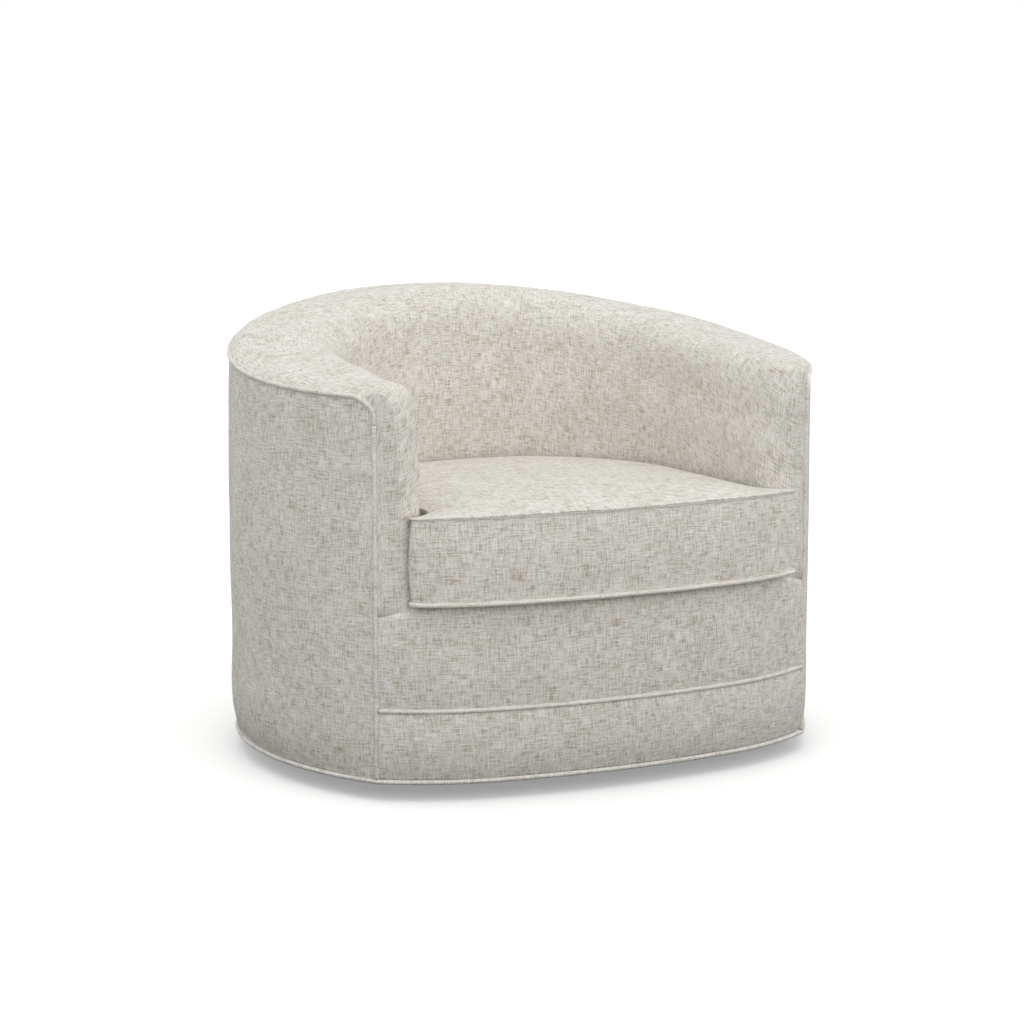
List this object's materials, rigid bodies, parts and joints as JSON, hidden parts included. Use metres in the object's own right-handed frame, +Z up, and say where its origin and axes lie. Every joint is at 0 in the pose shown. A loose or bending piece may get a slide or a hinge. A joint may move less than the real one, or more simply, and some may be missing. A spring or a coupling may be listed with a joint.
{
  "type": "swivel barrel armchair",
  "caption": "Upholstered barrel armchair with a swooped padded wall, a loose boxed T cushion and welted seams, turning on a hidden round base.",
  "frame": {"origin": "on the floor under the swivel axis, at the middle of the base", "axes": "+Z up, +X to the sitter's left, front of the chair towards -Y"},
  "size_m": [0.9432, 0.8561, 0.7145],
  "materials": {
    "upholstery": "off-white slubbed linen weave",
    "welting": "same linen weave on the bias",
    "deck_fabric": "plain cotton",
    "dust_cloth": "black spun cloth",
    "zip_cloth": "woven tape",
    "felt": "needled felt",
    "foam": "open foam",
    "fibreboard": "hardboard",
    "plywood": "birch plywood",
    "hardwood": "planed",
    "black_nylon": "moulded",
    "cage_nylon": "moulded",
    "steel": "zinc plated",
    "steel_plate": "pressed, zinc plated",
    "spring_steel": "black oiled"
  },
  "bodies": {
    "base": {"floor_glides": "black_nylon", "glide_screws": "steel", "base_disc": "plywood", "lower_bearing_plate": "steel_plate", "lower_plate_screws": "steel", "king_bolt": "steel", "king_washer": "steel", "king_nut": "steel"},
    "ball_ring": {"ball_cage": "cage_nylon", "bearing_balls": "steel"},
    "chair": {"upper_bearing_plate": "steel_plate", "upper_plate_screws": "steel", "king_bush": "cage_nylon", "barrel_pad": "upholstery", "top_board": "plywood", "inner_backing": "fibreboard", "outside_backing": "fibreboard", "outside_cover": "upholstery", "top_welt": "welting", "front_posts": "hardwood", "side_posts": "hardwood", "back_posts": "hardwood", "front_border": "upholstery", "lower_band": "upholstery", "front_rail": "plywood", "band_welt": "welting", "left_corner_welt": "welting", "right_corner_welt": "welting", "swivel_board": "plywood", "frame_screws": "steel", "base_welt": "welting", "dust_cover": "dust_cloth", "dust_cover_staples": "steel", "side_rails": "hardwood", "seat_blocks": "hardwood", "back_rail": "plywood", "seat_springs": "spring_steel", "spring_clips": "steel_plate", "spring_felt": "felt", "deck_pad": "foam", "deck_cloth": "deck_fabric", "left_arm_front": "upholstery", "right_arm_front": "upholstery"},
    "seat_cushion": {"cushion_top_panel": "upholstery", "cushion_boxing": "upholstery", "cushion_bottom_panel": "deck_fabric", "cushion_core": "foam", "cushion_bottom_welt": "welting", "cushion_top_welt": "welting", "zip_tape": "zip_cloth", "zip_stops": "steel"},
    "zip_slider_body": {"zip_slider": "steel"}
  },
  "joints": [
    {"name": "chair_swivel", "type": "hinge", "parent": "base", "child": "chair", "pos_m": [0, 0, 0.029], "axis": [0, 0, 1], "continuous": true},
    {"name": "ball_ring_roll", "type": "hinge", "parent": "base", "child": "ball_ring", "pos_m": [0, 0, 0.029], "axis": [0, 0, 1], "continuous": true},
    {"name": "cushion_lift", "type": "slide", "parent": "chair", "child": "seat_cushion", "axis": [0, 0, 1], "range_m": [0, 0.42]},
    {"name": "zip_slide", "type": "hinge", "parent": "seat_cushion", "child": "zip_slider_body", "pos_m": [0, -0.054, 0.369], "axis": [0, 0, -1], "range_deg": [0, 93]}
  ],
  "couplings": [
    {"joint": "ball_ring_roll", "follows": "chair_swivel", "ratio": 0.5}
  ]
}
